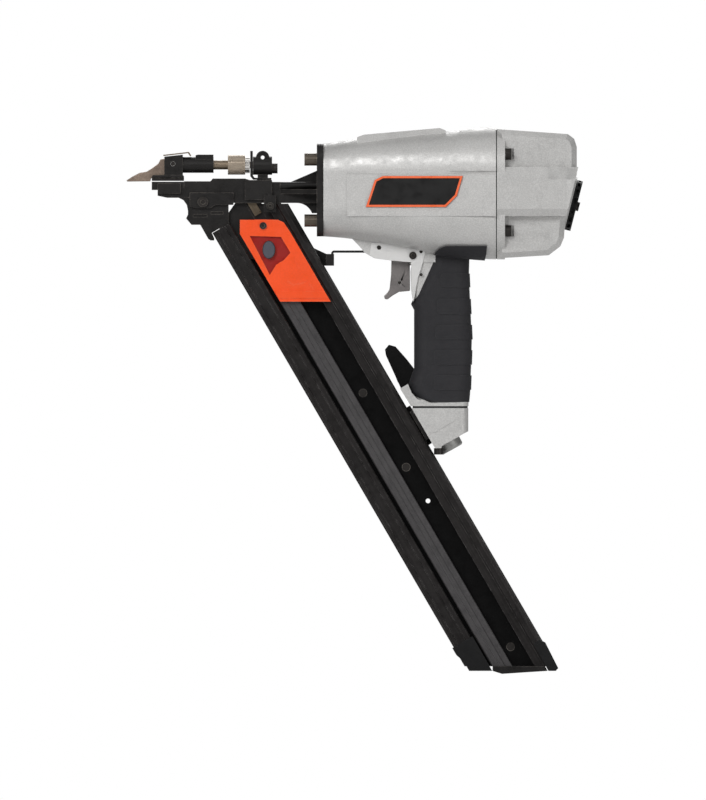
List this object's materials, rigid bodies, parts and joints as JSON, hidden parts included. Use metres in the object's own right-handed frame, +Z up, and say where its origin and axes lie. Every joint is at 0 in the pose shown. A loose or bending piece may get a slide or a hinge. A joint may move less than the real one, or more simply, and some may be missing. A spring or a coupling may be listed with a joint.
{
  "type": "pneumatic nail gun",
  "caption": "Air-powered nailer for metal connectors, with a slanted open magazine, sprung contact probe, depth wheel, trigger, rubber grip and folding hook.",
  "frame": {"origin": "on the drive axis at the mouth of the nail channel in the nose", "axes": "-X is the way the nail leaves, +Z is up from the handle to the barrel, +Y is the side away from the open face of the magazine"},
  "size_m": [0.3972, 0.1164, 0.4758],
  "materials": {
    "cast_silver": "painted and bead-blasted aluminium casting, satin",
    "gasket": "matt black fibre",
    "dark_bolt": "black oxide, satin",
    "bronze_bolt": "black oxide worn to bronze",
    "black_plastic": "moulded black, matt",
    "plain_aluminium": "machined",
    "seal_rubber": "matt black",
    "spring_steel": "drawn wire",
    "spring_band": "oiled band",
    "black_steel": "black oxide, oiled",
    "grip_rubber": "charcoal rubber, matt",
    "zinc_grey": "cast zinc, dull",
    "black_anodised": "black anodised extrusion",
    "grey_rail": "dark grey rolled steel",
    "badge_black": "gloss black plate with an orange edge",
    "black_wire": "black wire",
    "knurled_steel": "knurled, tan oxide",
    "bright_steel": "polished",
    "tan_steel": "tan oxide",
    "brown_steel": "tempered brown steel",
    "trigger_metal": "sintered, grey-brown",
    "orange_plastic": "signal orange, satin",
    "button_grey": "slate, satin",
    "hook_rubber": "steel dipped in matt black rubber"
  },
  "bodies": {
    "tool": {"housing": "cast_silver", "cylinder_cap": "cast_silver", "gaskets": "gasket", "cap_bolts": "dark_bolt", "exhaust_grille": "black_plastic", "grille_screw": "dark_bolt", "cylinder_sleeve": "plain_aluminium", "sleeve_seal": "seal_rubber", "bumper": "seal_rubber", "head_valve_spring": "spring_steel", "nosepiece": "black_steel", "flange_bolts": "bronze_bolt", "magazine_head": "black_steel", "nose_screws": "dark_bolt", "nose_clip": "black_steel", "trigger_pin": "dark_bolt", "valve_body": "black_plastic", "plunger_spring": "spring_steel", "valve_pins": "dark_bolt", "side_screws": "dark_bolt", "grip_sleeve": "grip_rubber", "end_cap": "cast_silver", "end_bolts": "dark_bolt", "inlet_bushing": "zinc_grey", "hook_screw": "dark_bolt", "magazine_channel": "black_anodised", "nail_rail": "grey_rail", "magazine_screws": "dark_bolt", "spring_strip": "spring_band", "magazine_bracket": "black_steel", "magazine_feet": "black_plastic", "bottom_plate": "black_steel", "badge": "badge_black"},
    "contact_arm": {"contact_yoke": "black_steel", "yoke_screw": "dark_bolt", "trip_arm": "black_steel", "trip_wire": "black_wire"},
    "depth_wheel": {"depth_wheel": "knurled_steel", "detent_ring": "bright_steel"},
    "probe_carrier": {"probe_holder": "black_steel", "adjust_tube": "black_steel", "threaded_rod": "tan_steel", "probe_pin": "dark_bolt", "leaf_spring": "tan_steel"},
    "probe": {"probe": "brown_steel"},
    "trigger": {"trigger": "trigger_metal", "trip_pin": "dark_bolt"},
    "trip_lever": {"trip_lever": "trigger_metal"},
    "valve_plunger": {"valve_plunger": "bright_steel"},
    "piston": {"piston": "plain_aluminium", "piston_ring": "seal_rubber", "driver_blade": "bright_steel"},
    "head_valve": {"head_valve": "plain_aluminium", "head_valve_seal": "seal_rubber"},
    "follower": {"follower": "orange_plastic", "nail_pusher": "black_steel", "follower_screw": "dark_bolt", "follower_spring": "spring_band"},
    "follower_button": {"follower_button": "button_grey"},
    "rafter_hook": {"rafter_hook": "hook_rubber"}
  },
  "joints": [
    {"name": "contact_slide", "type": "slide", "parent": "tool", "child": "contact_arm", "axis": [1, 0, 0], "range_m": [0, 0.008], "stiffness_N_per_m": 600, "springref_m": -0.015},
    {"name": "depth_wheel_spin", "type": "hinge", "parent": "contact_arm", "child": "depth_wheel", "pos_m": [0.0687, 0, 0.0222], "axis": [1, 0, 0], "range_deg": [-720, 720]},
    {"name": "probe_adjust", "type": "slide", "parent": "contact_arm", "child": "probe_carrier", "axis": [1, 0, 0], "range_m": [-0.0025, 0.0025]},
    {"name": "probe_pivot", "type": "hinge", "parent": "probe_carrier", "child": "probe", "pos_m": [0.0133, 0, 0.0233], "axis": [0, 1, 0], "range_deg": [0, 15], "stiffness_Nm_per_rad": 0.4, "springref_deg": -22.92},
    {"name": "trigger_pull", "type": "hinge", "parent": "tool", "child": "trigger", "pos_m": [0.1927, 0, -0.0497], "axis": [0, -1, 0], "range_deg": [0, 10], "stiffness_Nm_per_rad": 0.8, "springref_deg": -17.19},
    {"name": "trip_lever_swing", "type": "hinge", "parent": "trigger", "child": "trip_lever", "pos_m": [0.2105, 0, -0.0803], "axis": [0, 1, 0], "range_deg": [0, 4.2]},
    {"name": "valve_plunger_slide", "type": "slide", "parent": "tool", "child": "valve_plunger", "axis": [1, 0, 0], "range_m": [0, 0.0024], "deforming": ["plunger_spring"]},
    {"name": "piston_drive", "type": "slide", "parent": "tool", "child": "piston", "axis": [-1, 0, 0], "range_m": [0, 0.094]},
    {"name": "head_valve_lift", "type": "slide", "parent": "tool", "child": "head_valve", "axis": [1, 0, 0], "range_m": [0, 0.006], "stiffness_N_per_m": 1500, "springref_m": -0.01, "deforming": ["head_valve_spring"]},
    {"name": "follower_slide", "type": "slide", "parent": "tool", "child": "follower", "axis": [0.503, 0, -0.8643], "range_m": [0, 0.345], "stiffness_N_per_m": 30, "springref_m": -0.4},
    {"name": "follower_release", "type": "slide", "parent": "follower", "child": "follower_button", "axis": [0, 1, 0], "range_m": [0, 0.0025], "stiffness_N_per_m": 800, "springref_m": -0.002},
    {"name": "rafter_hook_swing", "type": "hinge", "parent": "tool", "child": "rafter_hook", "pos_m": [0.25, 0, -0.203], "axis": [0, 1, 0], "range_deg": [0, 170]}
  ],
  "couplings": [
    {"joint": "depth_wheel_spin", "follows": "probe_adjust", "rad_per_m": 5026.5},
    {"joint": "trip_lever_swing", "follows": "contact_slide", "rad_per_m": 8.7266},
    {"joint": "valve_plunger_slide", "follows": "trigger_pull", "m_per_rad": 0.012605}
  ]
}
